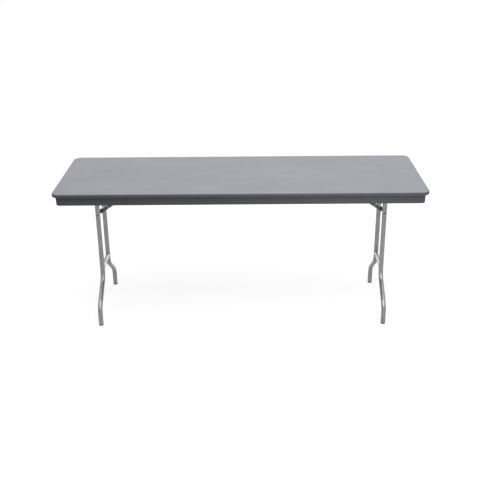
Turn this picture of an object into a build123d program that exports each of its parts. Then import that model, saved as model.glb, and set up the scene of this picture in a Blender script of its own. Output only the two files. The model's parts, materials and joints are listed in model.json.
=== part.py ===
"""Folding table: a moulded top on two wishbone leg sets that fold inwards under it.

Frame: origin on the floor under the middle of the top, +X along the top, +Z up, millimetres.
Side -1 is the left leg set (at -X) and side +1 the right. Row -1 is the front (at -Y) and row +1 the rear.
"""

import os
from math import atan2, cos, degrees, hypot, sin

from build123d import *

os.makedirs("parts", exist_ok=True)

# Table top
table_length = 1829.0
table_width = 610.0
table_height = 745.0
corner_radius = 38.0
skin_thickness = 3.0
core_thickness = 12.0
panel_thickness = 3.0
lip_width = 22.0
lip_top_radius = 6.0
lip_under_radius = 3.0
board_clearance = 0.3

# Apron rim under the top
apron_setback = 16.0
apron_depth = 45.5
apron_width = 25.0
apron_wall = 3.0
apron_draft = 2.0
apron_edge_radius = 3.0
apron_inner_radius = 3.0

# Stiffening rails inside the rim
rail_width = 15.0
rail_depth = 28.0
rail_wall = 1.6
rail_end_gap = 70.0
rail_screw_count = 7

# Leg sets
leg_inset = 178.5
pivot_drop = 33.5
tube_radius = 12.0
tube_wall = 1.5
upright_y = 89.5
foot_side_clearance = 8.5
upper_bend_z = 207.0
lower_bend_z = 97.0
bend_radius = 75.0
crossbar_z = 255.0
crossbar_radius = 11.0
pivot_tube_overhang = 7.7
weld_gap = 0.05
cope_trim = 4.0
glide_height = 7.0
glide_stem_length = 15.0
glide_edge_radius = 2.5

# Brace rod through the uprights
rod_drop = 166.0
rod_radius = 4.0
cap_radius = 5.5
cap_length = 4.5
cap_grip = 3.0
cap_edge_radius = 1.6
collar_radius = 8.0
collar_length = 7.0

# Folding brace
bracket_run = 248.0
link_height = 14.0
upper_link_width = 12.0
upper_link_wall = 2.0
web_cutback = 10.0
stop_tab_length = 24.0
stop_tab_width = 9.0
bar_thickness = 2.5
bar_drop = 3.5
bar_eye_radius = 8.0
link_gap = 0.8
brace_pin_radius = 3.0
pin_head_height = 0.4
rivet_head_radius = 5.0
rivet_head_height = 2.0
rivet_edge_radius = 1.2
spacer_radius = 5.0
spacer_inset = 46.0

# Brace bracket
bracket_length = 56.0
bracket_width = 54.0
bracket_wall = 2.0
bracket_screw_pitch_x = 36.0
bracket_screw_pitch_y = 36.0
bracket_corner_radius = 5.0
ear_margin = 3.5

# Pivot saddles
saddle_width = 25.0
saddle_wall = 3.2
saddle_foot_length = 74.0
saddle_foot_thickness = 4.0
saddle_side_gap = 0.6
saddle_screw_pitch = 56.0

# Fits and screws
running_clearance = 0.05
seat_clearance = 0.3
screw_radius = 2.25
screw_bite = 10.0
screw_head_radius = 4.6
screw_head_height = 2.8
screw_edge_radius = 1.4

# Sizes that follow
lip_height = skin_thickness + core_thickness + panel_thickness
under_z = table_height - lip_height
panel_top_z = under_z + panel_thickness
pocket_length = table_length - 2 * lip_width
pocket_width = table_width - 2 * lip_width
pocket_radius = corner_radius - lip_width
board_length = pocket_length - 2 * board_clearance
board_width = pocket_width - 2 * board_clearance
rim_length = table_length - 2 * apron_setback
rim_width = table_width - 2 * apron_setback
rim_radius = corner_radius - apron_setback
rail_y = rim_width / 2 - apron_width / 2
rail_length = rim_length - 2 * rail_end_gap
leg_x = table_length / 2 - leg_inset
foot_y = rim_width / 2 - apron_width - foot_side_clearance - tube_radius
pivot_z = table_height - pivot_drop
rod_z = pivot_z - rod_drop
bracket_x = leg_x - bracket_run
open_span = hypot(bracket_run, rod_drop)
closed_span = bracket_run - rod_drop
lower_bar_length = (open_span + closed_span) / 2
upper_link_length = (open_span - closed_span) / 2
brace_rise = atan2(rod_drop, bracket_run)
bar_inner_y = upper_link_width / 2 + link_gap
bar_outer_y = bar_inner_y + bar_thickness
pin_half_length = upper_link_width / 2 + pin_head_height
upright_outer_y = upright_y + tube_radius
saddle_y = upright_outer_y + saddle_side_gap + saddle_width / 2
pivot_tube_length = 2 * (saddle_y + saddle_width / 2 + pivot_tube_overhang)
bracket_ear_y = upper_link_width / 2 - upper_link_wall - seat_clearance
ear_radius = web_cutback - ear_margin
web_depth = bar_drop + link_height / 2 + seat_clearance + upper_link_wall
web_top = upper_link_wall - web_depth
SIDES = {"left": -1, "right": 1}
ROWS = {"front": -1, "rear": 1}


def save(part, name):
    """Label one finished piece and write its STEP file."""
    part.label = name
    export_step(part, f"parts/{name}.step")


def rounded_plan(z):
    """The horizontal plane at a height, on which the top's outlines are drawn."""
    return Plane.XY.offset(z)


def saddle_screw_sites():
    """Plan positions of the screws that hold the pivot saddles."""
    return [
        (side * leg_x + end * saddle_screw_pitch / 2, row * saddle_y)
        for side in SIDES.values()
        for row in ROWS.values()
        for end in (-1, 1)
    ]


def bracket_screw_sites():
    """Plan positions of the screws that hold the brace brackets."""
    return [
        (side * bracket_x + end * bracket_screw_pitch_x / 2, row * bracket_screw_pitch_y / 2)
        for side in SIDES.values()
        for row in ROWS.values()
        for end in (-1, 1)
    ]


def rail_screw_sites():
    """Plan positions of the screws along the two stiffening rails."""
    pitch = rail_length / rail_screw_count
    first = -rail_length / 2 + pitch / 2
    return [(first + i * pitch, row * rail_y) for row in ROWS.values() for i in range(rail_screw_count)]


def all_screw_sites():
    """Every screw position, for the holes in the panel and the core board."""
    return saddle_screw_sites() + bracket_screw_sites() + rail_screw_sites()


def cross_plane(x=0.0, y=0.0, z=0.0):
    """A plane whose normal runs along Y, with its own axes along X and Z."""
    return Plane(origin=(x, y, z), x_dir=(1, 0, 0), z_dir=(0, -1, 0))


def brace_plane(side, from_rod, y=0.0):
    """A plane along the straight brace, from its rod or its knee, with its own Y axis on the upper side."""
    along = 0.0 if from_rod else lower_bar_length
    heading = (-side * cos(brace_rise), 0, sin(brace_rise))
    start_x = side * leg_x + along * heading[0]
    start_z = rod_z + along * heading[2]
    return Plane(origin=(start_x, y, start_z), x_dir=heading, z_dir=(0, side, 0))


# Top skin: a panel with a rounded lip all round and a pocket for the core board
with BuildPart() as top_skin:
    with BuildSketch(rounded_plan(under_z)):
        RectangleRounded(table_length, table_width, corner_radius)
    extrude(amount=lip_height)
    fillet(top_skin.edges().group_by(Axis.Z)[-1], lip_top_radius)
    fillet(top_skin.edges().group_by(Axis.Z)[0], lip_under_radius)
    with BuildSketch(rounded_plan(under_z)):
        RectangleRounded(pocket_length, pocket_width, pocket_radius)
    extrude(amount=core_thickness + panel_thickness, mode=Mode.SUBTRACT)
save(top_skin.part, "top_skin")

# Core board, drilled through for the screws
with BuildPart() as core_board:
    with BuildSketch(rounded_plan(panel_top_z)):
        RectangleRounded(board_length, board_width, pocket_radius)
        with Locations(*all_screw_sites()):
            Circle(screw_radius + running_clearance, mode=Mode.SUBTRACT)
    extrude(amount=core_thickness)
save(core_board.part, "core_board")

# Underside panel below the core board
with BuildPart() as underside_panel:
    with BuildSketch(rounded_plan(under_z)):
        RectangleRounded(board_length, board_width, pocket_radius)
        with Locations(*all_screw_sites()):
            Circle(screw_radius + running_clearance, mode=Mode.SUBTRACT)
    extrude(amount=panel_thickness)
save(underside_panel.part, "underside_panel")

# Space inside the hollow rim, open to the underside of the top
with BuildPart() as rim_cavity:
    with BuildSketch(rounded_plan(under_z)):
        RectangleRounded(rim_length - 2 * apron_wall, rim_width - 2 * apron_wall, rim_radius - apron_wall)
    extrude(amount=apron_wall - apron_depth, taper=apron_draft)
    with BuildSketch(rounded_plan(under_z)):
        RectangleRounded(
            rim_length - 2 * (apron_width - apron_wall),
            rim_width - 2 * (apron_width - apron_wall),
            apron_inner_radius + apron_wall,
        )
    extrude(amount=apron_wall - apron_depth, taper=-apron_draft, mode=Mode.SUBTRACT)

# Apron rim: a drafted hollow ring set back under the lip
with BuildPart() as apron_rim:
    with BuildSketch(rounded_plan(under_z)):
        RectangleRounded(rim_length, rim_width, rim_radius)
    extrude(amount=-apron_depth, taper=apron_draft)
    with BuildSketch(rounded_plan(under_z)):
        RectangleRounded(rim_length - 2 * apron_width, rim_width - 2 * apron_width, apron_inner_radius)
    extrude(amount=-apron_depth, taper=-apron_draft, mode=Mode.SUBTRACT)
    fillet(apron_rim.faces().sort_by(Axis.Z)[0].edges(), apron_edge_radius)
    add(rim_cavity.part, mode=Mode.SUBTRACT)
save(apron_rim.part, "apron_rim")

# Stiffening rails: channels, open downwards, inside the front and rear of the rim
for row_name, row in ROWS.items():
    with BuildPart() as side_rail:
        with BuildSketch(Plane.YZ):
            with Locations((row * rail_y, under_z - rail_depth / 2)):
                Rectangle(rail_width, rail_depth)
            with Locations((row * rail_y, under_z - rail_wall - rail_depth / 2)):
                Rectangle(rail_width - 2 * rail_wall, rail_depth, mode=Mode.SUBTRACT)
        extrude(amount=rail_length / 2, both=True)
        with Locations(*[(x, y, under_z) for x, y in rail_screw_sites() if y * row > 0]):
            Hole(screw_radius + running_clearance, depth=2 * rail_wall)
    save(side_rail.part, f"side_rail_{row_name}")


def screw_group(sites, seat_z):
    """Pan-head screws driven upwards at the given plan positions, with their heads against a seat height."""
    with BuildPart() as screws:
        with BuildSketch(rounded_plan(seat_z)):
            with Locations(*sites):
                Circle(screw_radius)
        extrude(amount=panel_top_z + screw_bite - seat_z)
        with BuildSketch(rounded_plan(seat_z)):
            with Locations(*sites):
                Circle(screw_head_radius)
        extrude(amount=-screw_head_height)
        fillet(screws.edges().group_by(Axis.Z)[0], screw_edge_radius)
    return screws.part


save(screw_group(rail_screw_sites(), under_z - rail_wall), "rail_screws")
save(screw_group(saddle_screw_sites(), under_z - saddle_foot_thickness), "saddle_screws")
save(screw_group(bracket_screw_sites(), under_z - bracket_wall), "bracket_screws")

for side_name, side in SIDES.items():
    leg_plane_x = side * leg_x

    # Pivot saddles: screwed feet with a closed ring round the pivot tube
    for row_name, row in ROWS.items():
        with BuildPart() as saddle:
            with BuildSketch(cross_plane(leg_plane_x, row * saddle_y, pivot_z)):
                Circle(tube_radius + saddle_wall)
                with Locations((0, (under_z - pivot_z) / 2)):
                    Rectangle(2 * (tube_radius + saddle_wall), under_z - pivot_z)
                with Locations((0, under_z - pivot_z - saddle_foot_thickness / 2)):
                    Rectangle(saddle_foot_length, saddle_foot_thickness)
                with Locations((0, under_z - pivot_z)):
                    Rectangle(
                        saddle_foot_length,
                        2 * tube_radius,
                        align=(Align.CENTER, Align.MIN),
                        mode=Mode.SUBTRACT,
                    )
                Circle(tube_radius + running_clearance, mode=Mode.SUBTRACT)
            extrude(amount=saddle_width / 2, both=True)
            sites = [(x, y, under_z) for x, y in saddle_screw_sites() if x * side > 0 and y * row > 0]
            with Locations(*sites):
                Hole(screw_radius + running_clearance, depth=2 * saddle_foot_thickness)
        save(saddle.part, f"pivot_saddle_{side_name}_{row_name}")

    # Brace bracket: a screwed plate with two ears for the brace pin
    with BuildPart() as bracket:
        with BuildSketch(rounded_plan(under_z)):
            with Locations((side * bracket_x, 0)):
                RectangleRounded(bracket_length, bracket_width, bracket_corner_radius)
            with Locations(*[site for site in bracket_screw_sites() if site[0] * side > 0]):
                Circle(screw_radius + running_clearance, mode=Mode.SUBTRACT)
        extrude(amount=-bracket_wall)
        with BuildSketch(cross_plane(side * bracket_x, 0, pivot_z)):
            Circle(ear_radius)
            with Locations((0, (under_z - bracket_wall - pivot_z) / 2)):
                Rectangle(2 * ear_radius, under_z - bracket_wall - pivot_z)
        extrude(amount=bracket_ear_y, both=True)
        with BuildSketch(cross_plane(side * bracket_x, 0, pivot_z)):
            with Locations((0, under_z - bracket_wall - pivot_z)):
                Rectangle(bracket_length, pivot_drop, align=(Align.CENTER, Align.MAX))
        extrude(amount=bracket_ear_y - bracket_wall, both=True, mode=Mode.SUBTRACT)
        with BuildSketch(cross_plane(side * bracket_x, 0, pivot_z)):
            Circle(brace_pin_radius + running_clearance)
        extrude(amount=bracket_ear_y, both=True, mode=Mode.SUBTRACT)
    save(bracket.part, f"brace_bracket_{side_name}")

    # Bracket pin, a rivet with low heads, held by the bracket
    with BuildPart() as bracket_pin:
        with BuildSketch(cross_plane(side * bracket_x, 0, pivot_z)):
            Circle(brace_pin_radius)
        extrude(amount=pin_half_length, both=True)
    save(bracket_pin.part, f"bracket_pin_{side_name}")

    # Bent leg tubes
    for row_name, row in ROWS.items():
        leg_route_plane = Plane(origin=(leg_plane_x, 0, 0), x_dir=(0, 1, 0), z_dir=(1, 0, 0))
        with BuildPart() as leg_tube:
            with BuildLine(leg_route_plane) as route:
                FilletPolyline(
                    (row * foot_y, glide_height),
                    (row * foot_y, lower_bend_z),
                    (row * upright_y, upper_bend_z),
                    (row * upright_y, pivot_z - cope_trim),
                    radius=bend_radius,
                )
            with BuildSketch(rounded_plan(glide_height)):
                with Locations((leg_plane_x, row * foot_y)):
                    Circle(tube_radius)
                    Circle(tube_radius - tube_wall, mode=Mode.SUBTRACT)
            sweep(path=route.line)
            with BuildSketch(cross_plane(leg_plane_x, row * upright_y, pivot_z)):
                Circle(tube_radius + weld_gap)
            extrude(amount=2 * tube_radius, both=True, mode=Mode.SUBTRACT)
            with BuildSketch(cross_plane(leg_plane_x, row * upright_y, rod_z)):
                Circle(rod_radius + running_clearance)
            extrude(amount=2 * tube_radius, both=True, mode=Mode.SUBTRACT)
        save(leg_tube.part, f"leg_tube_{side_name}_{row_name}")

        # Foot glide: a plug with a stem up the end of the tube
        with BuildPart() as glide:
            with BuildSketch(rounded_plan(0)):
                with Locations((leg_plane_x, row * foot_y)):
                    Circle(tube_radius)
            extrude(amount=glide_height)
            fillet(glide.edges().group_by(Axis.Z)[0], glide_edge_radius)
            with BuildSketch(rounded_plan(glide_height)):
                with Locations((leg_plane_x, row * foot_y)):
                    Circle(tube_radius - tube_wall - running_clearance)
            extrude(amount=glide_stem_length)
        save(glide.part, f"foot_glide_{side_name}_{row_name}")

    # Pivot tube across the top of the leg set
    with BuildPart() as pivot_tube:
        with BuildSketch(cross_plane(leg_plane_x, 0, pivot_z)):
            Circle(tube_radius)
            Circle(tube_radius - tube_wall, mode=Mode.SUBTRACT)
        extrude(amount=pivot_tube_length / 2, both=True)
    save(pivot_tube.part, f"pivot_tube_{side_name}")

    # Lower crossbar, coped to the two uprights
    with BuildPart() as crossbar:
        with BuildSketch(cross_plane(leg_plane_x, 0, crossbar_z)):
            Circle(crossbar_radius)
            Circle(crossbar_radius - tube_wall, mode=Mode.SUBTRACT)
        extrude(amount=upright_y - cope_trim, both=True)
        with BuildSketch(rounded_plan(crossbar_z)):
            with Locations(*[(leg_plane_x, row * upright_y) for row in ROWS.values()]):
                Circle(tube_radius + weld_gap)
        extrude(amount=2 * crossbar_radius, both=True, mode=Mode.SUBTRACT)
    save(crossbar.part, f"lower_crossbar_{side_name}")

    # Brace rod through both uprights
    with BuildPart() as rod:
        with BuildSketch(cross_plane(leg_plane_x, 0, rod_z)):
            Circle(rod_radius)
        extrude(amount=upright_outer_y + cap_grip, both=True)
    save(rod.part, f"brace_rod_{side_name}")

    # Caps pressed on the ends of the rod
    with BuildPart() as rod_caps:
        for row in ROWS.values():
            cap_plane = Plane(
                origin=(leg_plane_x, row * (upright_outer_y + running_clearance), rod_z),
                x_dir=(1, 0, 0),
                z_dir=(0, row, 0),
            )
            with BuildSketch(cap_plane):
                Circle(cap_radius)
            extrude(amount=cap_length)
            with BuildSketch(cap_plane):
                Circle(rod_radius + running_clearance)
            extrude(amount=cap_grip, mode=Mode.SUBTRACT)
        fillet(rod_caps.edges().group_by(Axis.Y)[0] + rod_caps.edges().group_by(Axis.Y)[-1], cap_edge_radius)
    save(rod_caps.part, f"rod_caps_{side_name}")

    # Collars that keep the brace in the middle of the rod
    with BuildPart() as rod_collars:
        for row in ROWS.values():
            collar_plane = Plane(
                origin=(leg_plane_x, row * (bar_outer_y + seat_clearance), rod_z),
                x_dir=(1, 0, 0),
                z_dir=(0, row, 0),
            )
            with BuildSketch(collar_plane):
                Circle(collar_radius)
                Circle(rod_radius + running_clearance, mode=Mode.SUBTRACT)
            extrude(amount=collar_length)
    save(rod_collars.part, f"rod_collars_{side_name}")

    # Lower half of the brace: two bars that hang from eyes on the rod and the knee
    for row_name, row in ROWS.items():
        with BuildPart() as lower_bar:
            with BuildSketch(brace_plane(side, True, row * (bar_inner_y + bar_thickness / 2))):
                with Locations((lower_bar_length / 2, -bar_drop)):
                    SlotCenterToCenter(lower_bar_length, link_height)
                with Locations((0, 0), (lower_bar_length, 0)):
                    Circle(bar_eye_radius)
                Circle(rod_radius + running_clearance, mode=Mode.SUBTRACT)
                with Locations((lower_bar_length, 0), (spacer_inset, -bar_drop)):
                    Circle(brace_pin_radius + running_clearance, mode=Mode.SUBTRACT)
            extrude(amount=bar_thickness / 2, both=True)
        save(lower_bar.part, f"brace_bar_{side_name}_{row_name}")

    # Spacer between the bars, riveted over on their outer faces
    with BuildPart() as spacer:
        with BuildSketch(brace_plane(side, True)):
            with Locations((spacer_inset, -bar_drop)):
                Circle(spacer_radius)
        extrude(amount=bar_inner_y, both=True)
        with BuildSketch(brace_plane(side, True)):
            with Locations((spacer_inset, -bar_drop)):
                Circle(brace_pin_radius)
        extrude(amount=bar_outer_y, both=True)
        for row in ROWS.values():
            with BuildSketch(brace_plane(side, True, row * (bar_outer_y + rivet_head_height / 2))):
                with Locations((spacer_inset, -bar_drop)):
                    Circle(rivet_head_radius)
            extrude(amount=rivet_head_height / 2, both=True)
        fillet(spacer.edges().group_by(Axis.Y)[0] + spacer.edges().group_by(Axis.Y)[-1], rivet_edge_radius)
    save(spacer.part, f"brace_spacer_{side_name}")

    # Knee rivets: one in each bar, with its shank flush at the bar's inner face
    with BuildPart() as knee_rivets:
        for row in ROWS.values():
            with BuildSketch(brace_plane(side, False, row * (bar_inner_y + bar_thickness / 2))):
                Circle(brace_pin_radius)
            extrude(amount=bar_thickness / 2, both=True)
            with BuildSketch(brace_plane(side, False, row * (bar_outer_y + rivet_head_height / 2))):
                Circle(rivet_head_radius)
            extrude(amount=rivet_head_height / 2, both=True)
        knee_heads = knee_rivets.edges().group_by(Axis.Y)
        fillet(knee_heads[0] + knee_heads[-1], rivet_edge_radius)
    save(knee_rivets.part, f"knee_rivets_{side_name}")

    # Upper link: a short channel from the knee to the bracket, whose web reaches under the bars as a stop
    with BuildPart() as upper_link:
        with BuildSketch(brace_plane(side, False)):
            with Locations((upper_link_length / 2, 0)):
                SlotCenterToCenter(upper_link_length, link_height)
            with Locations((0, -web_depth)):
                Rectangle(upper_link_length, web_depth, align=(Align.MIN, Align.MIN))
        extrude(amount=upper_link_width / 2, both=True)
        with BuildSketch(brace_plane(side, False)):
            with Locations((0, web_top)):
                Rectangle(2 * open_span, 2 * web_depth, align=(Align.CENTER, Align.MIN))
            with Locations((upper_link_length, 0)):
                Rectangle(2 * web_cutback, 4 * web_depth)
        extrude(amount=upper_link_width / 2 - upper_link_wall, both=True, mode=Mode.SUBTRACT)
        with BuildSketch(brace_plane(side, False)):
            with Locations((0, web_top)):
                Rectangle(stop_tab_length, upper_link_wall, align=(Align.MAX, Align.MAX))
        extrude(amount=upper_link_width / 2, both=True)
        with BuildSketch(brace_plane(side, False)):
            with Locations((stop_tab_width - stop_tab_length, web_top)):
                Rectangle(stop_tab_width, upper_link_wall, align=(Align.MAX, Align.MAX))
        extrude(amount=bar_outer_y, both=True)
        with BuildSketch(brace_plane(side, False)):
            with Locations((0, 0), (upper_link_length, 0)):
                Circle(brace_pin_radius + running_clearance)
        extrude(amount=upper_link_width / 2, both=True, mode=Mode.SUBTRACT)
    save(upper_link.part, f"brace_upper_link_{side_name}")

    # Knee pin through the upper link
    with BuildPart() as knee_pin:
        with BuildSketch(brace_plane(side, False)):
            Circle(brace_pin_radius)
        extrude(amount=pin_half_length, both=True)
    save(knee_pin.part, f"knee_pin_{side_name}")

print(f"brace rise {degrees(brace_rise):.4f} deg")
print(f"brace bars {lower_bar_length:.3f} mm, upper link {upper_link_length:.3f} mm")
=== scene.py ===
"""Looks of the folding table: moulded top, steel leg sets and centre braces, on a plain studio floor.

Everything is in metres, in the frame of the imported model: origin on the floor under the middle of the
top, +X along the top, +Y to the rear, +Z up.
"""

import json
import logging
from collections.abc import Sequence
from dataclasses import dataclass, field
from enum import Enum
from math import cos, pi, radians, sin, sqrt

import bmesh
import bpy
from mathutils import Matrix, Vector


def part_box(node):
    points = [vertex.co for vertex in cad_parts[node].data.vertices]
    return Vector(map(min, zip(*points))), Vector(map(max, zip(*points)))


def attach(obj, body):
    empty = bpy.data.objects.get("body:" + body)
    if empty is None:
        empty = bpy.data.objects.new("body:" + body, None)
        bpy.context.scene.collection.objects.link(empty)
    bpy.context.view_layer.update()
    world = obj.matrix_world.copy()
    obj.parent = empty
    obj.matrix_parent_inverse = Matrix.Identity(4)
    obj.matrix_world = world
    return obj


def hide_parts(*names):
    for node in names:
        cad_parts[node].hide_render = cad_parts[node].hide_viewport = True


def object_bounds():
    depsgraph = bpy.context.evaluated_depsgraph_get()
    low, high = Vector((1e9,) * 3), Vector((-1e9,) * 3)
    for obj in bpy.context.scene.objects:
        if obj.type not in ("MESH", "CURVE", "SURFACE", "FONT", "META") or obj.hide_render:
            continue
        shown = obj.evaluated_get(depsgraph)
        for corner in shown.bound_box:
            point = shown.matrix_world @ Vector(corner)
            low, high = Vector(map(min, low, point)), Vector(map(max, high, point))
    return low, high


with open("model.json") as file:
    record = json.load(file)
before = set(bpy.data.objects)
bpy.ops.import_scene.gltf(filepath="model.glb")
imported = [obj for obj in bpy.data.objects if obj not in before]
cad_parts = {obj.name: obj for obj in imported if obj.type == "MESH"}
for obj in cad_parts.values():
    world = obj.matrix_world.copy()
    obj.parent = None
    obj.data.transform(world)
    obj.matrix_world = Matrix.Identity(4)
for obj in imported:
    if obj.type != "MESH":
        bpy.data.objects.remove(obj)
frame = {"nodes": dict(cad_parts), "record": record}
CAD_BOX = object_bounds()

LOG = logging.getLogger("folding_table")
COOL_WHITE = (0.93, 0.96, 1.0)

Socket = bpy.types.NodeSocket
Colour = tuple[float, float, float]
Point = tuple[float, float, float]
Stretch = tuple[float, float, float]
Range = tuple[float, float]
Outline = list[tuple[float, float]]


class Side(Enum):
    """The two leg sets, by the end of the table that they carry."""

    LEFT = "left"
    RIGHT = "right"

    @property
    def sign(self) -> int:
        """-1 at the -X end and +1 at the +X end."""
        return -1 if self is Side.LEFT else 1


class Row(Enum):
    """The front and rear of the table."""

    FRONT = "front"
    REAR = "rear"

    @property
    def sign(self) -> int:
        """-1 at the front, which is -Y, and +1 at the rear."""
        return -1 if self is Row.FRONT else 1


class Slot(Enum):
    """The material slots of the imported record."""

    TOP = "top_plastic"
    RIM = "rim_plastic"
    BOARD = "board"
    RAIL = "rail_steel"
    SCREW = "screw_steel"
    BRACE = "brace_paint"
    SADDLE = "saddle_plastic"
    RIVET = "rivet_steel"
    LEG = "leg_steel"
    GLIDE = "glide_plastic"


# ---------------------------------------------------------------- materials


class Graph:
    """The node tree of one material, with short calls that add nodes and join them."""

    def __init__(self, name: str) -> None:
        """Starts a material that holds one principled shader.

        Args:
            name: the material's name.
        """
        self.material = bpy.data.materials.new(name)
        self.material.use_nodes = True
        self.tree = self.material.node_tree
        self.tree.nodes.clear()
        self.shader = self.tree.nodes.new("ShaderNodeBsdfPrincipled")
        output = self.tree.nodes.new("ShaderNodeOutputMaterial")
        self.tree.links.new(self.shader.outputs["BSDF"], output.inputs["Surface"])
        self.place = self.tree.nodes.new("ShaderNodeTexCoord").outputs["Object"]

    def fixed(self, **values: float | Colour) -> None:
        """Sets sockets of the shader that are the same all over the surface.

        Args:
            values: socket names, with underscores for spaces, and their values.
        """
        for name, value in values.items():
            socket = self.shader.inputs[name.replace("_", " ")]
            socket.default_value = (*value, 1.0) if isinstance(value, tuple) else value

    def feed(self, name: str, socket: Socket) -> None:
        """Joins a socket to one of the shader's own inputs."""
        self.tree.links.new(socket, self.shader.inputs[name])

    def stretched(self, scale: Stretch) -> Socket:
        """The object coordinates, scaled along each axis.

        Args:
            scale: the factor along X, Y and Z.

        Returns:
            The scaled coordinates.
        """
        node = self.tree.nodes.new("ShaderNodeMapping")
        node.inputs["Scale"].default_value = scale
        self.tree.links.new(self.place, node.inputs["Vector"])
        return node.outputs["Vector"]

    def noise(self, scale: float, detail: float = 3.0, stretch: Stretch = (1.0, 1.0, 1.0)) -> Socket:
        """Fractal noise in the object's own space.

        Args:
            scale: features per metre.
            detail: octaves.
            stretch: factor along each axis, below 1 for long features.

        Returns:
            A value around 0.5.
        """
        node = self.tree.nodes.new("ShaderNodeTexNoise")
        node.inputs["Scale"].default_value = scale
        node.inputs["Detail"].default_value = detail
        self.tree.links.new(self.stretched(stretch), node.inputs["Vector"])
        return node.outputs["Fac"]

    def cells(self, scale: float) -> Socket:
        """Rounded cells in the object's own space.

        Args:
            scale: cells per metre.

        Returns:
            The smoothed distance to the nearest of many scattered points.
        """
        node = self.tree.nodes.new("ShaderNodeTexVoronoi")
        node.feature = "SMOOTH_F1"
        node.inputs["Scale"].default_value = scale
        self.tree.links.new(self.place, node.inputs["Vector"])
        return node.outputs["Distance"]

    def height(self) -> Socket:
        """Takes the height out of the object's own coordinates.

        Returns:
            The height above the floor at rest.
        """
        node = self.tree.nodes.new("ShaderNodeSeparateXYZ")
        self.tree.links.new(self.place, node.inputs["Vector"])
        return node.outputs["Z"]

    def spread(self, value: Socket, start: float, end: float, low: float = 0.0, high: float = 1.0) -> Socket:
        """Maps a value linearly from one range to another and holds it there.

        Args:
            value: the value to map.
            start: the value that becomes low.
            end: the value that becomes high.
            low: the result at start.
            high: the result at end.

        Returns:
            The mapped value.
        """
        node = self.tree.nodes.new("ShaderNodeMapRange")
        self.tree.links.new(value, node.inputs["Value"])
        for name, number in (("From Min", start), ("From Max", end), ("To Min", low), ("To Max", high)):
            node.inputs[name].default_value = number
        return node.outputs["Result"]

    def mixed(self, share: Socket, first: Colour | Socket, second: Colour | Socket) -> Socket:
        """Mixes two colours.

        Args:
            share: how much of the second colour shows.
            first: a colour, or a socket that gives one.
            second: a colour, or a socket that gives one.

        Returns:
            The mixed colour.
        """
        node = self.tree.nodes.new("ShaderNodeMix")
        node.data_type = "RGBA"
        self.tree.links.new(share, node.inputs["Factor"])
        for name, value in (("A", first), ("B", second)):
            socket = next(s for s in node.inputs if s.name == name and s.type == "RGBA")
            if isinstance(value, tuple):
                socket.default_value = (*value, 1.0)
            else:
                self.tree.links.new(value, socket)
        return next(s for s in node.outputs if s.type == "RGBA")

    def sum(self, first: Socket, second: Socket, weight: float = 1.0) -> Socket:
        """Adds a weighted value to another.

        Args:
            first: the value that counts in full.
            second: the value that is weighted.
            weight: the factor on the second value.

        Returns:
            The first value plus the second one times the weight.
        """
        node = self.tree.nodes.new("ShaderNodeMath")
        node.operation = "MULTIPLY_ADD"
        self.tree.links.new(second, node.inputs[0])
        node.inputs[1].default_value = weight
        self.tree.links.new(first, node.inputs[2])
        return node.outputs["Value"]

    def bump(self, height: Socket, depth: float, strength: float = 1.0) -> None:
        """Gives the shader a bump.

        Args:
            height: the bump's height from 0 to 1.
            depth: what a height of 1 stands for, in metres.
            strength: from 0 to 1.
        """
        node = self.tree.nodes.new("ShaderNodeBump")
        node.inputs["Distance"].default_value = depth
        node.inputs["Strength"].default_value = strength
        self.tree.links.new(height, node.inputs["Height"])
        self.feed("Normal", node.outputs["Normal"])


def tint(colour: Colour, factor: float) -> Colour:
    """A colour made lighter or darker by a factor."""
    return (colour[0] * factor, colour[1] * factor, colour[2] * factor)


@dataclass(frozen=True)
class Finish:
    """A surface finish: its name, its colour and how it scatters light."""

    name: str
    colour: Colour
    roughness: float = 0.5
    specular: float = 0.5

    def material(self) -> bpy.types.Material:
        """Builds the finish as a procedural material.

        Returns:
            The new material.
        """
        graph = Graph(self.name)
        graph.fixed(Specular_IOR_Level=self.specular)
        self.paint(graph)
        return graph.material

    def paint(self, graph: Graph) -> None:
        """Adds the colour, the roughness and the bump.

        Args:
            graph: the material's node tree.
        """
        raise NotImplementedError


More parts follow.
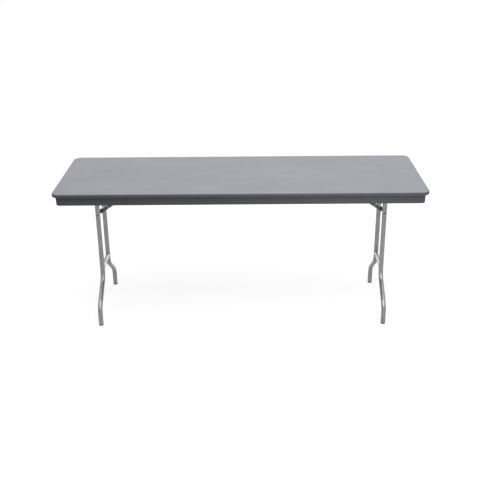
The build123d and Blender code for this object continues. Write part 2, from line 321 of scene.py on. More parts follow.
@dataclass(frozen=True)
class TopMoulding(Finish):
    """Moulded plastic with a pebbled face and a darker, glossier lip; the face's paler grey is painted
    light, the one plastic shown lit from above.
    """

    lip_colour: Colour = (0.078, 0.082, 0.092)
    face_height: float = CAD_BOX[1][2]
    lip_below: float = 0.0035
    face_above: float = 0.0008
    mottle_scale: float = 26.0
    cloud_scale: float = 3.2
    cloud_weight: float = 0.8
    mottle_range: Range = (0.7, 1.12)
    lip_light: float = 1.16
    face_light: float = 1.06
    rub_scale: float = 9.0
    rub_stretch: Stretch = (0.35, 1.0, 1.0)
    rub_range: Range = (0.35, 0.65)
    rub_change: float = 0.035
    lip_polish: float = 0.09
    pebble_scale: float = 620.0
    grain_scale: float = 240.0
    grain_weight: float = 0.7
    pebble_depth: float = 0.00012
    pebble_strength: float = 0.35

    def paint(self, graph: Graph) -> None:
        """Pebbles, faint mottle and rubbed patches all over, and the painted light that makes the face paler
        than the lip.

        Args:
            graph: the material's node tree.
        """
        lip_end, face_start = self.face_height - self.lip_below, self.face_height - self.face_above
        # Painted light: the face's paler grey over the lip's charcoal shows one plastic as lit from above.
        painted_lit_face = graph.spread(graph.height(), lip_end, face_start)
        spots, clouds = graph.noise(self.mottle_scale, 4.0), graph.noise(self.cloud_scale)
        mottle = graph.sum(spots, clouds, self.cloud_weight)
        plain = graph.mixed(painted_lit_face, self.lip_colour, self.colour)
        pale = graph.mixed(painted_lit_face, tint(self.lip_colour, self.lip_light), tint(self.colour, self.face_light))
        graph.feed("Base Color", graph.mixed(graph.spread(mottle, *self.mottle_range), plain, pale))
        patches = graph.noise(self.rub_scale, 5.0, self.rub_stretch)
        rubbed = graph.spread(patches, *self.rub_range, -self.rub_change, self.rub_change)
        polish = graph.spread(painted_lit_face, 0.0, 1.0, self.roughness - self.lip_polish, self.roughness)
        graph.feed("Roughness", graph.sum(polish, rubbed))
        cells, grain = graph.cells(self.pebble_scale), graph.noise(self.grain_scale, 2.0)
        pebbles = graph.sum(cells, grain, self.grain_weight)
        graph.bump(pebbles, self.pebble_depth, self.pebble_strength)


@dataclass(frozen=True)
class PlainMoulding(Finish):
    """Smooth moulded plastic with fine flow marks and a light satin grain."""

    flow: Stretch = (0.25, 1.0, 1.0)
    mark_scale: float = 14.0
    fine_scale: float = 75.0
    fine_weight: float = 0.4
    mark_range: Range = (0.5, 0.9)
    dark: float = 0.88
    light: float = 1.16
    sheen_range: Range = (0.45, 0.95)
    sheen_change: float = 0.05
    grain_scale: float = 900.0
    grain_depth: float = 0.00006
    grain_strength: float = 0.4

    def paint(self, graph: Graph) -> None:
        """Flow marks along the part and a grain about a millimetre across.

        Args:
            graph: the material's node tree.
        """
        broad, fine = graph.noise(self.mark_scale, 4.0, self.flow), graph.noise(self.fine_scale, 2.0)
        marks = graph.sum(broad, fine, self.fine_weight)
        shade = graph.spread(marks, *self.mark_range)
        toned = graph.mixed(shade, tint(self.colour, self.dark), tint(self.colour, self.light))
        graph.feed("Base Color", toned)
        low, high = self.roughness - self.sheen_change, self.roughness + self.sheen_change
        graph.feed("Roughness", graph.spread(marks, *self.sheen_range, low, high))
        graph.bump(graph.noise(self.grain_scale, 2.0), self.grain_depth, self.grain_strength)


@dataclass(frozen=True)
class ZincPlate(Finish):
    """Zinc on steel: cloudy patches, drawing marks along one axis and small dark specks."""

    metal: float = 0.75
    cloud_scale: float = 34.0
    cloud_stretch: Stretch = (1.0, 1.0, 0.5)
    streak_scale: float = 420.0
    streak_stretch: Stretch = (1.0, 1.0, 0.045)
    streak_weight: float = 0.55
    shade_range: Range = (0.52, 1.02)
    dark: float = 0.84
    light: float = 1.16
    speck_scale: float = 310.0
    speck_range: Range = (0.68, 0.74)
    speck_shade: float = 0.5
    sheen_range: Range = (0.5, 1.0)
    dull: float = 0.04
    bright: float = 0.03
    streak_depth: float = 0.00001
    streak_strength: float = 0.2

    def paint(self, graph: Graph) -> None:
        """Clouds and streaks in colour and roughness, and a shallow bump from the streaks.

        Args:
            graph: the material's node tree.
        """
        graph.fixed(Metallic=self.metal)
        clouds = graph.noise(self.cloud_scale, 4.0, self.cloud_stretch)
        streaks = graph.noise(self.streak_scale, 2.0, self.streak_stretch)
        both = graph.sum(clouds, streaks, self.streak_weight)
        shade = graph.spread(both, *self.shade_range)
        toned = graph.mixed(shade, tint(self.colour, self.dark), tint(self.colour, self.light))
        specks = graph.spread(graph.noise(self.speck_scale, 1.0), *self.speck_range)
        graph.feed("Base Color", graph.mixed(specks, toned, tint(self.colour, self.speck_shade)))
        low, high = self.roughness + self.dull, self.roughness - self.bright
        graph.feed("Roughness", graph.spread(both, *self.sheen_range, low, high))
        graph.bump(streaks, self.streak_depth, self.streak_strength)


@dataclass(frozen=True)
class StovePaint(Finish):
    """Dark paint with an orange-peel skin and chips that show paler metal."""

    cloud_scale: float = 60.0
    cloud_range: Range = (0.35, 0.65)
    dark: float = 0.8
    light: float = 1.3
    chip_scale: float = 260.0
    chip_range: Range = (0.6, 0.66)
    chip_colour: Colour = (0.24, 0.24, 0.23)
    sheen_range: Range = (0.3, 0.7)
    gloss: float = 0.05
    dull: float = 0.08
    peel_scale: float = 380.0
    peel_depth: float = 0.00008
    peel_strength: float = 0.35

    def paint(self, graph: Graph) -> None:
        """Cloudy paint, scattered chips and the orange peel.

        Args:
            graph: the material's node tree.
        """
        clouds = graph.noise(self.cloud_scale)
        shade = graph.spread(clouds, *self.cloud_range)
        body = graph.mixed(shade, tint(self.colour, self.dark), tint(self.colour, self.light))
        chips = graph.spread(graph.noise(self.chip_scale), *self.chip_range)
        graph.feed("Base Color", graph.mixed(chips, body, self.chip_colour))
        low, high = self.roughness - self.gloss, self.roughness + self.dull
        graph.feed("Roughness", graph.spread(clouds, *self.sheen_range, low, high))
        graph.bump(graph.noise(self.peel_scale, 2.0), self.peel_depth, self.peel_strength)


@dataclass(frozen=True)
class WeldMetal(Finish):
    """Weld metal with heat tint and a frozen ripple."""

    metal: float = 0.6
    heat_scale: float = 190.0
    heat_range: Range = (0.35, 0.65)
    dark: float = 0.7
    straw: Colour = (0.33, 0.32, 0.29)
    gloss: float = 0.06
    dull: float = 0.08
    ripple_scale: float = 700.0
    ripple_depth: float = 0.0001
    ripple_strength: float = 0.5

    def paint(self, graph: Graph) -> None:
        """Straw to blue-grey tint in patches, and a coarse bump.

        Args:
            graph: the material's node tree.
        """
        graph.fixed(Metallic=self.metal)
        heat = graph.spread(graph.noise(self.heat_scale), *self.heat_range)
        graph.feed("Base Color", graph.mixed(heat, tint(self.colour, self.dark), self.straw))
        low, high = self.roughness - self.gloss, self.roughness + self.dull
        graph.feed("Roughness", graph.spread(heat, 0.0, 1.0, low, high))
        graph.bump(graph.noise(self.ripple_scale, 2.0), self.ripple_depth, self.ripple_strength)


@dataclass(frozen=True)
class Plywood(Finish):
    """Layered board: grain along X, and light and dark bands by height.

    The wave node turns by wave_radians per metre at a scale of 1. Here it turns by one radian per
    band_radian of height, so a light and a dark band together take about 15 mm.
    """

    band_radian: float = 0.0024
    wave_radians: float = 20.0
    band_range: Range = (0.2, 0.8)
    band_share: float = 0.35
    band_shade: float = 0.5
    grain_scale: float = 120.0
    grain_stretch: Stretch = (0.06, 1.0, 1.0)
    grain_range: Range = (0.3, 0.7)
    dark: float = 0.72
    light: float = 1.15
    dull: float = 0.12
    grain_depth: float = 0.0001
    grain_strength: float = 0.3

    def paint(self, graph: Graph) -> None:
        """Stretched grain, and the wave of bands.

        Args:
            graph: the material's node tree.
        """
        grain = graph.noise(self.grain_scale, 5.0, self.grain_stretch)
        wave = graph.tree.nodes.new("ShaderNodeTexWave")
        wave.bands_direction = "Z"
        wave.inputs["Scale"].default_value = 1.0 / self.band_radian / self.wave_radians
        graph.tree.links.new(graph.place, wave.inputs["Vector"])
        shade = graph.spread(grain, *self.grain_range)
        wood = graph.mixed(shade, tint(self.colour, self.dark), tint(self.colour, self.light))
        bands = graph.spread(wave.outputs["Fac"], *self.band_range, 0.0, self.band_share)
        graph.feed("Base Color", graph.mixed(bands, wood, tint(self.colour, self.band_shade)))
        low, high = self.roughness, self.roughness + self.dull
        graph.feed("Roughness", graph.spread(grain, *self.grain_range, low, high))
        graph.bump(grain, self.grain_depth, self.grain_strength)


class Palette:
    """Every finish of the table, made once and handed out by slot."""

    def __init__(self) -> None:
        """Builds the materials."""
        along_x, along_y, even = (0.045, 1.0, 1.0), (1.0, 0.045, 1.0), (1.0, 1.0, 1.0)
        rail = ZincPlate("galvanised_rail", (0.40, 0.41, 0.42), 0.4, streak_stretch=along_x)
        screw = ZincPlate("bright_zinc_screw", (0.55, 0.55, 0.54), 0.28, metal=0.9, cloud_scale=120.0)
        rivet = ZincPlate("dull_rivet_zinc", (0.3, 0.3, 0.3), 0.34, metal=0.85, cloud_scale=160.0)
        # The crossbar zinc is the tube zinc made paler: a painted highlight for the light it reflects.
        bar = ZincPlate("zinc_bar_painted_highlight", (0.38, 0.382, 0.38), 0.46, metal=0.9, streak_stretch=along_y)
        finishes: dict[Slot, Finish] = {
            # The face grey is painted light from above; the lip colour is the plastic's own charcoal.
            Slot.TOP: TopMoulding("top_moulding_painted_lit_face", (0.237, 0.246, 0.267), 0.48, 0.2),
            Slot.RIM: PlainMoulding("charcoal_rim_moulding", (0.078, 0.08, 0.088), 0.42, 0.22),
            Slot.BOARD: Plywood("core_plywood", (0.55, 0.41, 0.26), 0.7, 0.3),
            Slot.RAIL: rail,
            Slot.SCREW: screw,
            Slot.BRACE: StovePaint("graphite_brace_paint", (0.12, 0.125, 0.143), 0.34, 0.5),
            Slot.SADDLE: PlainMoulding("black_saddle_nylon", (0.03, 0.03, 0.033), 0.45, 0.45, flow=even),
            Slot.RIVET: rivet,
            Slot.LEG: ZincPlate("dull_zinc_tube", (0.235, 0.237, 0.24), 0.35, metal=0.92),
            Slot.GLIDE: PlainMoulding("dark_glide_plastic", (0.06, 0.062, 0.066), 0.55, 0.4, flow=even),
        }
        self.by_slot = {slot: finish.material() for slot, finish in finishes.items()}
        self.weld = WeldMetal("weld_metal", (0.36, 0.365, 0.37), 0.42).material()
        self.crossbar = bar.material()

    def dress_nodes(self) -> None:
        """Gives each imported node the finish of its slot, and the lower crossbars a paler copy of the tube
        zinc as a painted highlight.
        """
        for row in frame["record"]["subparts"]:
            self.dress(row["node"], self.by_slot[Slot(row["material_slot"])])
        for side in Side:
            # The crossbars get the paler zinc, a painted highlight.
            self.dress(f"lower_crossbar_{side.value}", self.crossbar)

    def dress(self, node: str, material: bpy.types.Material) -> None:
        """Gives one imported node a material.

        Args:
            node: the node's name.
            material: what it is made of.
        """
        mesh = frame["nodes"][node].data
        mesh.materials.clear()
        mesh.materials.append(material)


# ---------------------------------------------------------------- mesh helpers


def finish_piece(
    name: str,
    bm: bmesh.types.BMesh,
    material: bpy.types.Material,
    body: str,
    stands_for: Sequence[str] = (),
    sharp_degrees: float = 35.0,
) -> bpy.types.Object:
    """Turns a bmesh into a named piece of the table.

    Args:
        name: the piece's name.
        bm: its mesh in the row frame, which is freed.
        material: what it is made of.
        body: the body that it rides on.
        stands_for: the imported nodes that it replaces.
        sharp_degrees: faces that meet at more than this angle keep a crisp edge.

    Returns:
        The new object.
    """
    bmesh.ops.recalc_face_normals(bm, faces=bm.faces[:])
    mesh = bpy.data.meshes.new(name)
    bm.to_mesh(mesh)
    bm.free()
    mesh.materials.append(material)
    mesh.polygons.foreach_set("use_smooth", [True] * len(mesh.polygons))
    mesh.set_sharp_from_angle(angle=radians(sharp_degrees))
    piece = bpy.data.objects.new(name, mesh)
    bpy.context.scene.collection.objects.link(piece)
    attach(piece, body)
    if stands_for:
        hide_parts(*stands_for)
    LOG.info("%s: %d faces on body %s", name, len(mesh.polygons), body)
    return piece


def turn(bm: bmesh.types.BMesh, profile: Outline, place: Matrix, sides: int = 40) -> None:
    """Adds a turned shape.

    Args:
        bm: the mesh to add to.
        profile: radius and height pairs, in order along the turned outline.
        place: where the shape's own Z axis goes.
        sides: points around it.
    """
    rings = []
    for radius, height in profile:
        if radius == 0.0:
            rings.append([bm.verts.new(place @ Vector((0.0, 0.0, height)))])
            continue
        angles = [2 * pi * i / sides for i in range(sides)]
        points = [Vector((radius * cos(angle), radius * sin(angle), height)) for angle in angles]
        rings.append([bm.verts.new(place @ point) for point in points])
    for low, high in zip(rings, rings[1:]):
        join_rings(bm, low, high)
    for ring in (rings[0], rings[-1]):
        if len(ring) > 1 and rings[0] is not rings[-1]:
            bm.faces.new(ring)


def quarter_turn(steps: int) -> list[float]:
    """The angles from 0 to a quarter turn, in even steps."""
    return [pi / 2 * step / steps for step in range(steps + 1)]


def rounded(radius: float, edge: float, steps: int) -> Outline:
    """The outline of a rounded lower edge, from the flat at height 0 to the full radius.

    Args:
        radius: the full radius.
        edge: the radius of the rounding.
        steps: straight pieces in the outline.

    Returns:
        Radius and height pairs.
    """
    inset = radius - edge
    return [(inset + edge * sin(angle), edge * (1 - cos(angle))) for angle in quarter_turn(steps)]


def dome(radius: float, base: float, rise: float, steps: int) -> Outline:
    """The outline of a dome, from its rim to the point on its axis.

    Args:
        radius: the rim's radius.
        base: the rim's height.
        rise: how far the point lies above the rim.
        steps: straight pieces in the outline.

    Returns:
        Radius and height pairs.
    """
    outline = [(radius * cos(angle), base + rise * sin(angle)) for angle in quarter_turn(steps)]
    outline[-1] = (0.0, outline[-1][1])
    return outline


def join_rings(bm: bmesh.types.BMesh, low: list[bmesh.types.BMVert], high: list[bmesh.types.BMVert]) -> None:
    """Adds the faces between two rings, either of which may be a single point.

    Args:
        bm: the mesh to add to.
        low: the first ring.
        high: the second ring.
    """
    count = max(len(low), len(high))
    for i in range(count):
        j = (i + 1) % count
        if len(low) == 1:
            bm.faces.new((low[0], high[j], high[i]))
        elif len(high) == 1:
            bm.faces.new((low[i], low[j], high[0]))
        else:
            bm.faces.new((low[i], low[j], high[j], high[i]))


def bead(bm: bmesh.types.BMesh, route: Sequence[Vector], radii: Sequence[float], sides: int = 10) -> None:
    """Adds a closed bead along a closed route.

    Args:
        bm: the mesh to add to.
        route: points around the joint.
        radii: the bead's radius at each point.
        sides: points around the bead.
    """
    count = len(route)
    centre = sum(route, Vector()) / count
    rings = []
    for i, (point, radius) in enumerate(zip(route, radii)):
        along = (route[(i + 1) % count] - route[i - 1]).normalized()
        outward = (point - centre).normalized()
        across = (outward - along * outward.dot(along)).normalized()
        up = along.cross(across)
        angles = [2 * pi * k / sides for k in range(sides)]
        rings.append([bm.verts.new(point + (across * cos(a) + up * sin(a)) * radius) for a in angles])
    for i in range(count):
        join_rings(bm, rings[i], rings[(i + 1) % count])


def sites_of(node: str, reach: float = 0.02) -> list[tuple[Vector, Vector]]:
    """The boxes of a node's separate solids.

    Args:
        node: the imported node's name.
        reach: points nearer than this in plan belong to one solid.

    Returns:
        The lowest and highest corner of each solid, from -X to +X.
    """
    groups: list[list[Vector]] = []
    for vertex in frame["nodes"][node].data.vertices:
        home = next((g for g in groups if (g[0].xy - vertex.co.xy).length < reach), None)
        if home is None:
            groups.append([vertex.co.copy()])
        else:
            home.append(vertex.co.copy())
    boxes = []
    for group in groups:
        low = Vector([min(v[axis] for v in group) for axis in range(3)])
        high = Vector([max(v[axis] for v in group) for axis in range(3)])
        boxes.append((low, high))
    return sorted(boxes, key=lambda box: (round(box[0].x, 3), box[0].y))


# ---------------------------------------------------------------- sub-assemblies


@dataclass
class Screws:
    """Pan-head screws with a cross recess, driven upwards into the board."""

    palette: Palette
    head_radius: float = 0.0046
    head_height: float = 0.0028
    edge: float = 0.0014
    shank_radius: float = 0.00225
    thread_depth: float = 0.00045
    thread_pitch: float = 0.0018
    recess_depth: float = 0.0015
    recess_length: float = 0.0048
    recess_width: float = 0.0011
    edge_steps: int = 4
    sides: int = 28
    heading_degrees: float = 37.0

    def profile(self, length: float) -> Outline:
        """The turned outline from the middle of the head, at height 0, to the tip of the shank.

        Args:
            length: the whole screw's length.

        Returns:
            Radius and height pairs.
        """
        outline = [(0.0, 0.0), *rounded(self.head_radius, self.edge, self.edge_steps)]
        outline.append((self.head_radius, self.head_height))
        height = self.head_height
        while height < length - 2 * self.thread_pitch:
            outline.append((self.shank_radius - self.thread_depth, height))
            outline.append((self.shank_radius, height + self.thread_pitch / 2))
            height += self.thread_pitch
        outline.append((self.shank_radius - self.thread_depth, height))
        outline.append((0.0, length))
        return outline

    def one(self, length: float) -> bpy.types.Mesh:
        """One screw, standing on its head at the origin, with the cross cut into the head.

        Args:
            length: the whole screw's length.

        Returns:
            The mesh.
        """
        bm = bmesh.new()
        turn(bm, self.profile(length), Matrix.Identity(4), self.sides)
        body = self.loose_object(bm)
        cutter = bmesh.new()
        for quarter in (0, 1):
            size = Matrix.Diagonal((self.recess_length, self.recess_width, 2 * self.recess_depth, 1.0))
            bmesh.ops.create_cube(cutter, size=1.0, matrix=Matrix.Rotation(quarter * pi / 2, 4, "Z") @ size)
        tool = self.loose_object(cutter)
        cut = body.modifiers.new("cross", "BOOLEAN")
        cut.operation = "DIFFERENCE"
        cut.solver = "EXACT"
        cut.use_self = True
        cut.object = tool
        made = bpy.data.meshes.new_from_object(body.evaluated_get(bpy.context.evaluated_depsgraph_get()))
        for spare in (body, tool):
            bpy.data.objects.remove(spare)
        return made

    def loose_object(self, bm: bmesh.types.BMesh) -> bpy.types.Object:
        """Puts a bmesh into a passing object.

        Args:
            bm: the mesh, which is freed.

        Returns:
            The passing object.
        """
        bmesh.ops.recalc_face_normals(bm, faces=bm.faces[:])
        mesh = bpy.data.meshes.new("blank")
        bm.to_mesh(mesh)
        bm.free()
        blank = bpy.data.objects.new("blank", mesh)
        bpy.context.scene.collection.objects.link(blank)
        return blank

    def build(self) -> None:
        """Replaces the three groups of plain screws with detailed ones, each turned its own way."""
        for node in ("rail_screws", "saddle_screws", "bracket_screws"):
            sites = sites_of(node)
            low, high = sites[0]
            pattern = self.one(high.z - low.z)
            bm = bmesh.new()
            for index, (low, high) in enumerate(sites):
                start = len(bm.verts)
                bm.from_mesh(pattern)
                bm.verts.ensure_lookup_table()
                middle = (low + high) / 2
                heading = Matrix.Rotation(radians(self.heading_degrees * index), 4, "Z")
                place = Matrix.Translation((middle.x, middle.y, low.z)) @ heading
                bmesh.ops.transform(bm, matrix=place, verts=bm.verts[start:])
            material = self.palette.by_slot[Slot.SCREW]
            finish_piece(node.replace("screws", "pan_heads"), bm, material, "top", (node,))
            bpy.data.meshes.remove(pattern)


@dataclass(frozen=True)
class BeadShape:
    """Measures of a weld bead and of the waves along it.

    Round the top of an upright the bead is slimmer: its radius is the share slim, less the share lean
    on the outer side of the table and more by as much on the inner side.
    """

    radius: float = 0.0016
    points: int = 120
    slim: float = 0.62
    lean: float = 0.34
    ripple: float = 0.14
    ripples: int = 34
    wobble: float = 0.08
    wobbles: int = 5
    wobble_start: float = 1.0

    def rippled(self, radii: Sequence[float], turns: Sequence[float]) -> list[float]:
        """Gives bead radii the small waves that a welder leaves.

        Args:
            radii: the smooth radii.
            turns: the angle round the joint for each of them.

        Returns:
            The waved radii.
        """
        waved = []
        for radius, angle in zip(radii, turns):
            wobble = self.wobble * sin(self.wobbles * angle + self.wobble_start)
            waved.append(radius * (1 + self.ripple * sin(self.ripples * angle) + wobble))
        return waved


@dataclass(frozen=True)
class GlideShape:
    """Measures of a foot glide: a rounded sole with a groove round it, and a ridged stem.

    The ridge marks are shares of the pitch: where the top of a ridge starts, where it ends and where
    the ridge is back at the stem.
    """

    edge: float = 0.0025
    edge_steps: int = 5
    groove_depth: float = 0.0005
    groove_width: float = 0.0012
    groove_slope: float = 0.2
    ridges: int = 4
    ridge_depth: float = 0.0006
    ridge_offset: float = 0.5
    ridge_marks: tuple[float, float, float] = (0.1, 0.4, 0.7)
    sides: int = 56

    def profile(self, sole: float, stem: float, tube_end: float, top: float) -> Outline:
        """The turned outline from the middle of the sole to the middle of the stem's top.

        Args:
            sole: the sole's radius.
            stem: the radius over the ridges.
            tube_end: the height of the tube's end.
            top: the height of the stem's top.

        Returns:
            Radius and height pairs.
        """
        outline = [(0.0, 0.0), *rounded(sole, self.edge, self.edge_steps)]
        bottom = sole - self.groove_depth
        groove = (self.edge + tube_end - self.groove_width) / 2
        outline += [(sole, groove), (bottom, groove + self.groove_width * self.groove_slope)]
        outline.append((bottom, groove + self.groove_width * (1 - self.groove_slope)))
        outline.append((sole, groove + self.groove_width))
        core = stem - self.ridge_depth
        outline += [(sole, tube_end), (core, tube_end)]
        pitch = (top - tube_end) / (self.ridges + self.ridge_offset)
        rise, fall, end = self.ridge_marks
        for ridge in range(self.ridges):
            start = tube_end + pitch * (ridge + self.ridge_offset)
            outline += [(core, start), (stem, start + pitch * rise)]
            outline += [(stem, start + pitch * fall), (core, start + pitch * end)]
        outline += [(stem - 2 * self.ridge_depth, top), (0.0, top)]
        return outline


@dataclass(frozen=True)
class CapShape:
    """Measures of a push-on cap: a bevelled rim, a shoulder and a dome over a blind bore.

    The shoulder is given as a multiple of the rim's height.
    """

    rim: float = 0.0009
    bevel: float = 0.0004
    shoulder: float = 1.5
    shoulder_step: float = 0.0006
    dome_inset: float = 0.0009
    dome_steps: int = 8
    bore_depth: float = 0.003

    def profile(self, radius: float, tall: float, bore: float) -> Outline:
        """The turned outline from the top of the dome, down the outside and up into the bore.

        Args:
            radius: the rim's radius.
            tall: the whole cap's height.
            bore: the bore's radius.

        Returns:
            Radius and height pairs.
        """
        shoulder = self.rim * self.shoulder
        outline = [(bore, 0.0), (radius - self.bevel, 0.0), (radius, self.bevel), (radius, self.rim)]
        outline.append((radius - self.shoulder_step, shoulder))
        outline += dome(radius - self.dome_inset, shoulder, tall - shoulder, self.dome_steps)
        return [*outline[::-1], (bore, self.bore_depth), (0.0, self.bore_depth)]


@dataclass(frozen=True)
class PlugShape:
    """Measures of a hole plug: a neck in the hole under a domed head.

    The neck is given as a share of the head's radius.
    """

    radius: float = 0.0042
    neck: float = 0.6
    depth: float = 0.004
    seat: float = 0.0006
    edge: float = 0.0003
    crown: float = 0.0009
    crown_steps: int = 6
    sides: int = 28

    def profile(self) -> Outline:
        """The turned outline from the inner end of the neck to the top of the dome.

        Returns:
            Radius and height pairs.
        """
        neck = self.radius * self.neck
        outline = [(0.0, -self.depth), (neck, -self.depth), (neck, -self.seat)]
        outline += [(self.radius, -self.seat), (self.radius, self.edge)]
        return outline + dome(self.radius, self.edge, self.crown, self.crown_steps)[1:]


@dataclass
class LegSet:
    """One folding leg set: the welds, glides, rod caps and hole plugs that finish its bent tubes."""

    side: Side
    palette: Palette
    weld: BeadShape = BeadShape()
    glide: GlideShape = GlideShape()
    cap: CapShape = CapShape()
    plug: PlugShape = PlugShape()
    clearance: float = 0.00005
    plug_rise: float = 0.014
    bead_sharp: float = 80.0
    dome_sharp: float = 50.0
    body: str = field(init=False)
    tube_radius: float = field(init=False)
    crossbar_radius: float = field(init=False)
    rod_radius: float = field(init=False)
    upright: float = field(init=False)
    pivot: Vector = field(init=False)
    crossbar: Vector = field(init=False)
    rod: Vector = field(init=False)

    def __post_init__(self) -> None:
        """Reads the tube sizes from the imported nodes."""
        name = self.side.value
        self.body = f"{name}_leg"
        low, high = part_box(f"pivot_tube_{name}")
        self.tube_radius = (high.z - low.z) / 2
        self.pivot = (low + high) / 2
        low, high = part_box(f"lower_crossbar_{name}")
        self.crossbar_radius = (high.z - low.z) / 2
        self.crossbar = (low + high) / 2
        low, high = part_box(f"brace_rod_{name}")
        self.rod_radius = (high.z - low.z) / 2
        self.rod = (low + high) / 2
        front, rear = (self.upright_y(row) for row in Row)
        self.upright = (rear - front) / 2

    def upright_y(self, row: Row) -> float:
        """Measures one upright at the rod's height.

        Args:
            row: the upright's row.

        Returns:
            The Y of its axis.
        """
        mesh = frame["nodes"][f"leg_tube_{self.side.value}_{row.value}"].data
        near = [v.co.y for v in mesh.vertices if abs(v.co.z - self.rod.z) < 2 * self.tube_radius]
        return (min(near) + max(near)) / 2

    def outward(self, row: Row, reach: float, rise: float = 0.0) -> Matrix:
        """A place in line with the brace rod, with its Z axis pointing away from the table's middle.

        Args:
            row: the front or the rear end of the rod.
            reach: how far the place lies from the table's middle.
            rise: how far it lies above the rod.

        Returns:
            The place.
        """
        site = (self.rod.x, row.sign * reach, self.rod.z + rise)
        return Matrix.Translation(site) @ Matrix.Rotation(-row.sign * pi / 2, 4, "X")

    def welds(self) -> None:
        """The beads round the tops of the uprights and round both ends of the lower crossbar."""
        bm = bmesh.new()
        shape = self.weld
        turns = [2 * pi * i / shape.points for i in range(shape.points)]
        r, bar = self.tube_radius, self.crossbar_radius
        for row in Row:
            y = row.sign * self.upright
            top = []
            for t in turns:
                drop = r * abs(sin(t))
                top.append(Vector((self.pivot.x + r * cos(t), y + r * sin(t), self.pivot.z - drop)))
            slim = [shape.radius * (shape.slim - shape.lean * row.sign * sin(t)) for t in turns]
            bead(bm, top, shape.rippled(slim, turns))
            low = []
            for t in turns:
                reach = self.upright - sqrt(r * r - (bar * cos(t)) ** 2)
                place = (self.crossbar.x + bar * cos(t), row.sign * reach, self.crossbar.z + bar * sin(t))
                low.append(Vector(place))
            bead(bm, low, shape.rippled([shape.radius] * shape.points, turns))
        name = f"weld_beads_{self.side.value}"
        finish_piece(name, bm, self.palette.weld, self.body, sharp_degrees=self.bead_sharp)

    def glides(self) -> None:
        """Plugs in the ends of the tubes, each with a grooved sole and a ridged stem."""
        for row in Row:
            node = f"foot_glide_{self.side.value}_{row.value}"
            low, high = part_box(node)
            middle = (low + high) / 2
            tube_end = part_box(f"leg_tube_{self.side.value}_{row.value}")[0].z
            points = [vertex.co for vertex in frame["nodes"][node].data.vertices]
            stem = max(point.x for point in points if point.z > tube_end + self.clearance) - middle.x
            profile = self.glide.profile((high.x - low.x) / 2, stem, tube_end, high.z)
            bm = bmesh.new()
            turn(bm, profile, Matrix.Translation((middle.x, middle.y, low.z)), self.glide.sides)
            material = self.palette.by_slot[Slot.GLIDE]
            name = f"ridged_glide_{self.side.value}_{row.value}"
            finish_piece(name, bm, material, self.body, (node,))

    def rod_caps(self) -> None:
        """Domed push-on caps on the ends of the brace rod."""
        node = f"rod_caps_{self.side.value}"
        low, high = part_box(node)
        grip = self.upright + self.tube_radius + self.clearance
        profile = self.cap.profile((high.z - low.z) / 2, high.y - grip, self.rod_radius + self.clearance)
        bm = bmesh.new()
        for row in Row:
            turn(bm, profile, self.outward(row, grip))
        material = self.palette.by_slot[Slot.RIVET]
        name = f"domed_caps_{self.side.value}"
        finish_piece(name, bm, material, self.body, (node,), self.dome_sharp)

    def hole_plugs(self) -> None:
        """Small domed plugs in the holes above the brace rod, on the outer faces of the uprights."""
        reach = self.upright + self.tube_radius
        bm = bmesh.new()
        for row in Row:
            turn(bm, self.plug.profile(), self.outward(row, reach, self.plug_rise), self.plug.sides)
        material = self.palette.by_slot[Slot.SADDLE]
        name = f"hole_plugs_{self.side.value}"
        finish_piece(name, bm, material, self.body, sharp_degrees=self.dome_sharp)

    def build(self) -> None:
        """Adds every finishing piece of the leg set."""
        self.welds()
        self.glides()
        self.rod_caps()
        self.hole_plugs()


# ---------------------------------------------------------------- studio


@dataclass(frozen=True)
class SoftBox:
    """A rectangular studio lamp, aimed at a point."""

    name: str
    place: Point
    target: Point
    size: tuple[float, float]
    watts: float
    colour: Colour = (1.0, 1.0, 1.0)

    def build(self) -> None:
        """Adds the lamp to the scene."""
        lamp = bpy.data.lights.new(self.name, "AREA")
        lamp.shape = "RECTANGLE"
        lamp.size, lamp.size_y = self.size
        lamp.energy = self.watts
        lamp.color = self.colour
        holder = bpy.data.objects.new(self.name, lamp)
        holder.location = self.place
        aim = Vector(self.target) - Vector(self.place)
        holder.rotation_euler = aim.to_track_quat("-Z", "Y").to_euler()
        bpy.context.scene.collection.objects.link(holder)


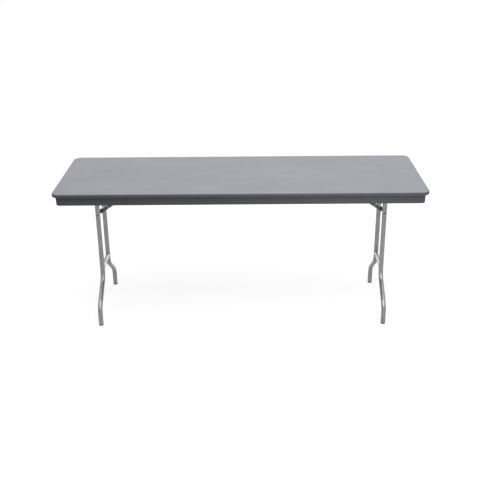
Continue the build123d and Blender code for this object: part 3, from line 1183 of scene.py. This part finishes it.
@dataclass
class Studio:
    """Floor, sky, lamps and camera."""

    sun_level: float = 2.3
    sun_heading: tuple[float, float] = (16.0, 6.0)
    sun_spread: float = 80.0
    sky_level: float = 0.12
    floor_half: float = 45.0
    floor_drop: float = 0.0003
    floor_shade: float = 0.3
    floor_glow: float = 0.765
    lens: float = 59.64
    sensor: float = 36.0
    shift: tuple[float, float] = (-0.0125, 0.0040)
    eye: Point = (0.0455, -3.9009, 2.0300)
    yaw: float = -0.320
    pitch: float = 23.144
    roll: float = 0.526
    clip_floor_halves: float = 4.0
    boxes: tuple[SoftBox, ...] = (
        SoftBox("right_front_box", (0.62, -1.7, 1.25), (0.85, -0.3, 0.7), (0.6, 0.6), 14.0, COOL_WHITE),
        SoftBox("rear_strip", (0.0, 0.8, 1.12), (0.0, 0.25, 0.745), (2.6, 0.25), 3.0),
        SoftBox("low_back_panel", (0.0, 2.4, 0.5), (0.0, 0.0, 0.35), (3.2, 0.5), 26.0),
        SoftBox("small_overhead", (0.2, -1.7, 3.2), (0.0, 0.0, 0.4), (0.5, 0.5), 17.0),
    )

    def seen_directly(self, tree: bpy.types.NodeTree) -> Socket:
        """1 for rays from the camera, from mirrors and through glass, and 0 for scattered light.

        Args:
            tree: the node tree to add to.

        Returns:
            The socket.
        """
        path = tree.nodes.new("ShaderNodeLightPath")
        total = path.outputs["Is Camera Ray"]
        for name in ("Is Glossy Ray", "Is Transmission Ray"):
            node = tree.nodes.new("ShaderNodeMath")
            node.operation = "ADD"
            node.use_clamp = True
            tree.links.new(total, node.inputs[0])
            tree.links.new(path.outputs[name], node.inputs[1])
            total = node.outputs["Value"]
        return total

    def floor_material(self) -> bpy.types.Material:
        """Matte from above, with a glow where it is seen, and clear from below.

        Returns:
            The new material.
        """
        material = bpy.data.materials.new("pale_floor")
        material.use_nodes = True
        tree = material.node_tree
        tree.nodes.clear()
        matte = tree.nodes.new("ShaderNodeBsdfDiffuse")
        matte.inputs["Color"].default_value = (self.floor_shade, self.floor_shade, self.floor_shade, 1.0)
        glow = tree.nodes.new("ShaderNodeEmission")
        share = tree.nodes.new("ShaderNodeMath")
        share.operation = "MULTIPLY"
        share.inputs[1].default_value = self.floor_glow
        tree.links.new(self.seen_directly(tree), share.inputs[0])
        tree.links.new(share.outputs["Value"], glow.inputs["Strength"])
        both = tree.nodes.new("ShaderNodeAddShader")
        tree.links.new(matte.outputs["BSDF"], both.inputs[0])
        tree.links.new(glow.outputs["Emission"], both.inputs[1])
        clear = tree.nodes.new("ShaderNodeBsdfTransparent")
        pick = tree.nodes.new("ShaderNodeMixShader")
        tree.links.new(tree.nodes.new("ShaderNodeNewGeometry").outputs["Backfacing"], pick.inputs["Fac"])
        tree.links.new(both.outputs["Shader"], pick.inputs[1])
        tree.links.new(clear.outputs["BSDF"], pick.inputs[2])
        output = tree.nodes.new("ShaderNodeOutputMaterial")
        tree.links.new(pick.outputs["Shader"], output.inputs["Surface"])
        return material

    def floor(self) -> None:
        """A pale floor that keeps the table's shadow and can be looked through from below."""
        bm = bmesh.new()
        half, level = self.floor_half, -self.floor_drop
        corners = ((-half, -half), (half, -half), (half, half), (-half, half))
        bm.faces.new([bm.verts.new((x, y, level)) for x, y in corners])
        mesh = bpy.data.meshes.new("studio_floor")
        bm.to_mesh(mesh)
        bm.free()
        mesh.materials.append(self.floor_material())
        plane = bpy.data.objects.new("studio_floor", mesh)
        bpy.context.scene.collection.objects.link(plane)

    def sky(self) -> None:
        """White where it is seen, and a faint even light where it is not."""
        world = bpy.data.worlds.new("studio_sky")
        bpy.context.scene.world = world
        world.use_nodes = True
        tree = world.node_tree
        backdrop = tree.nodes["Background"]
        backdrop.inputs["Color"].default_value = (1.0, 1.0, 1.0, 1.0)
        level = tree.nodes.new("ShaderNodeMapRange")
        level.inputs["To Min"].default_value = self.sky_level
        level.inputs["To Max"].default_value = 1.0
        tree.links.new(self.seen_directly(tree), level.inputs["Value"])
        tree.links.new(level.outputs["Result"], backdrop.inputs["Strength"])

    def sun(self) -> None:
        """A broad soft light from above, leaning a little to the front."""
        lamp = bpy.data.lights.new("broad_overhead", "SUN")
        lamp.energy = self.sun_level
        lamp.angle = radians(self.sun_spread)
        holder = bpy.data.objects.new("broad_overhead", lamp)
        tilt, lean = self.sun_heading
        holder.rotation_euler = (radians(tilt), radians(lean), 0.0)
        bpy.context.scene.collection.objects.link(holder)

    def camera(self) -> None:
        """A camera in front of the table, a little above it."""
        data = bpy.data.cameras.new("studio_camera")
        data.lens = self.lens
        data.sensor_width = self.sensor
        data.shift_x, data.shift_y = self.shift
        data.clip_end = self.clip_floor_halves * self.floor_half
        holder = bpy.data.objects.new("studio_camera", data)
        holder.location = self.eye
        yaw = Matrix.Rotation(radians(-self.yaw), 3, "Z")
        pitch = Matrix.Rotation(radians(90 - self.pitch), 3, "X")
        roll = Matrix.Rotation(radians(-self.roll), 3, "Z")
        holder.rotation_euler = (yaw @ pitch @ roll).to_euler()
        bpy.context.scene.collection.objects.link(holder)
        bpy.context.scene.camera = holder

    def build(self) -> None:
        """Sets up the whole studio."""
        self.floor()
        self.sky()
        self.sun()
        for box in self.boxes:
            box.build()
        self.camera()
        bpy.context.scene.view_settings.view_transform = "Standard"


def main() -> None:
    """Builds the looks in order."""
    logging.basicConfig(level=logging.INFO, format="%(name)s: %(message)s")
    palette = Palette()
    palette.dress_nodes()
    Screws(palette).build()
    for side in Side:
        LegSet(side, palette).build()
    Studio().build()


if __name__ == "__main__":
    main()
